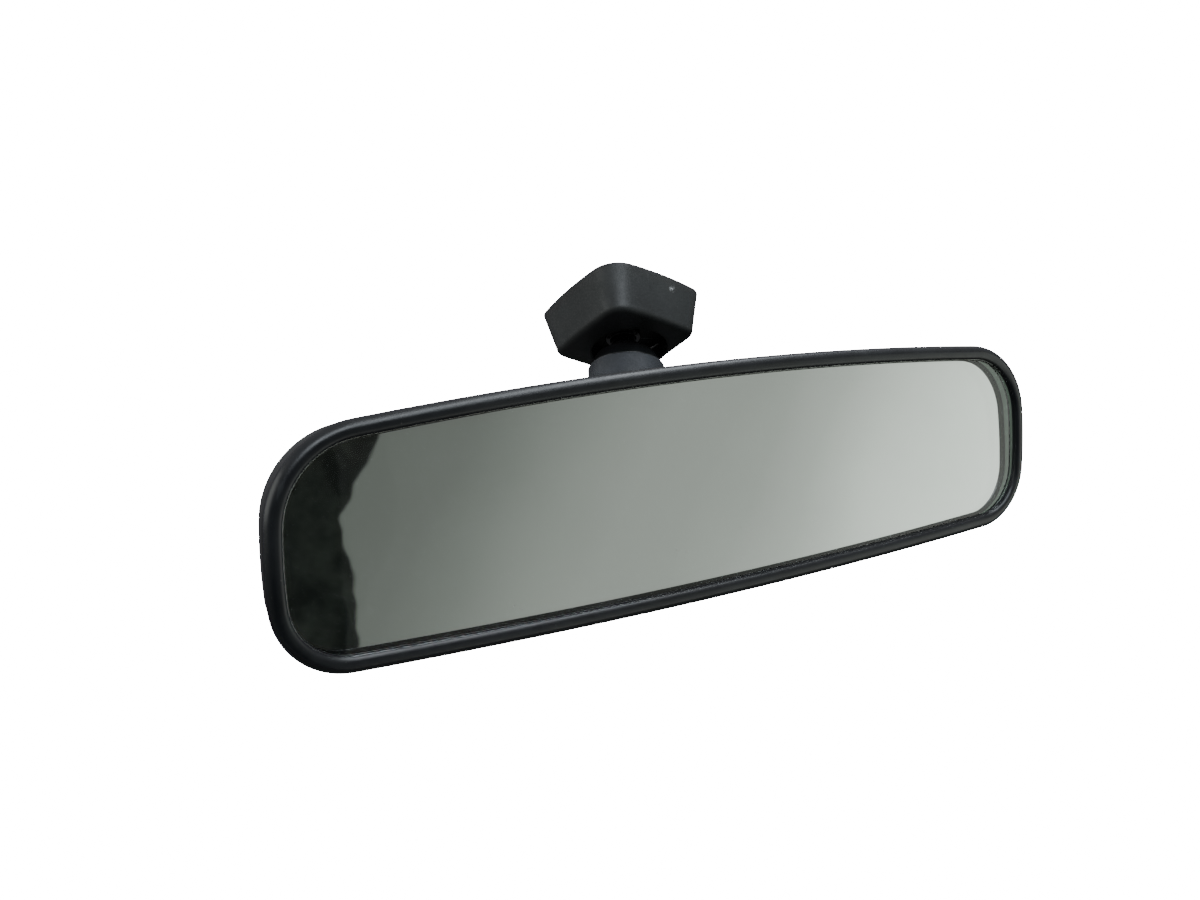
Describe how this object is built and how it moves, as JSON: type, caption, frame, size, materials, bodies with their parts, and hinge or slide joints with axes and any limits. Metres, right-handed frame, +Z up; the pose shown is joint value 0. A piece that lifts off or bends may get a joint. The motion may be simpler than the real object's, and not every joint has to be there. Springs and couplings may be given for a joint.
{
  "type": "interior rearview mirror",
  "caption": "Day and night interior rearview mirror: wide wedge-glass head on a twin-ball arm with a covered mount for a round windscreen button.",
  "frame": {"origin": "centre of the mount's seat on the windscreen", "axes": "+Z up, the glass faces -Y, +X along the head, to the right as seen from the driver's side"},
  "size_m": [0.2449, 0.0842, 0.0973],
  "materials": {
    "cover_plastic": "fine moulded texture, matt",
    "zinc": "die-cast, black coated",
    "spring_steel": "bright spring steel",
    "plated_steel": "zinc plated",
    "black_steel": "black, glossy",
    "arm_paint": "satin grey-blue paint",
    "collar_black": "black phosphate, oiled",
    "nylon": "natural nylon",
    "bracket_zinc": "die-cast, grey",
    "case_plastic": "fine grain, satin",
    "bezel_plastic": "satin black",
    "mirror_glass": "silvered prismatic glass",
    "film": "grey adhesive film",
    "foam": "closed-cell foam",
    "lever_plastic": "fine grain"
  },
  "bodies": {
    "mount": {"mount_cover": "cover_plastic", "mount_base": "zinc", "lock_spring": "spring_steel", "spring_rivets": "plated_steel", "upper_ball_stud": "black_steel"},
    "upper_ring": {"upper_liner": "nylon"},
    "arm": {"arm_tube": "arm_paint", "upper_collar": "collar_black", "lower_collar": "collar_black", "upper_seat": "nylon", "pressure_spring": "spring_steel"},
    "cup": {"lower_seat": "nylon"},
    "lower_ring": {"lower_liner": "nylon"},
    "bracket": {"pivot_bracket": "bracket_zinc", "lower_ball_stud": "black_steel", "lock_washer": "plated_steel", "stud_nut": "plated_steel"},
    "head": {"rear_case": "case_plastic", "bezel": "bezel_plastic", "mirror_glass": "mirror_glass", "backing_film": "film", "foam_pads": "foam", "pivot_pin": "plated_steel", "pin_clips": "spring_steel", "lever_pin": "plated_steel", "toggle_spring": "spring_steel", "spring_screws": "plated_steel"},
    "lever": {"flip_lever": "lever_plastic"}
  },
  "joints": [
    {"name": "arm_pitch", "type": "hinge", "parent": "mount", "child": "upper_ring", "pos_m": [-0.00407, -0.00835, -0.01737], "axis": [0.8988, -0.4384, 0], "range_deg": [-16, 16]},
    {"name": "arm_swing", "type": "hinge", "parent": "upper_ring", "child": "arm", "pos_m": [-0.00407, -0.00835, -0.01737], "axis": [0.3533, 0.7244, -0.592], "range_deg": [-16, 16]},
    {"name": "head_turn", "type": "hinge", "parent": "arm", "child": "cup", "pos_m": [-0.01295, -0.02272, -0.04537], "axis": [0.2714, 0.4395, 0.8563], "range_deg": [-35, 35]},
    {"name": "head_pitch", "type": "hinge", "parent": "cup", "child": "lower_ring", "pos_m": [-0.01295, -0.02272, -0.04537], "axis": [1, 0, 0], "range_deg": [-15, 15]},
    {"name": "head_roll", "type": "hinge", "parent": "lower_ring", "child": "bracket", "pos_m": [-0.01295, -0.02272, -0.04537], "axis": [0, 1, 0], "range_deg": [-15, 15]},
    {"name": "glare_flip", "type": "hinge", "parent": "bracket", "child": "head", "pos_m": [-0.01295, -0.05172, -0.02637], "axis": [-1, 0, 0], "range_deg": [0, 4.2]},
    {"name": "lever_flip", "type": "hinge", "parent": "head", "child": "lever", "pos_m": [-0.01295, -0.04872, -0.06837], "axis": [-1, 0, 0], "range_deg": [0, 40]}
  ],
  "couplings": [
    {"joint": "lever_flip", "follows": "glare_flip", "ratio": 9.5238}
  ]
}
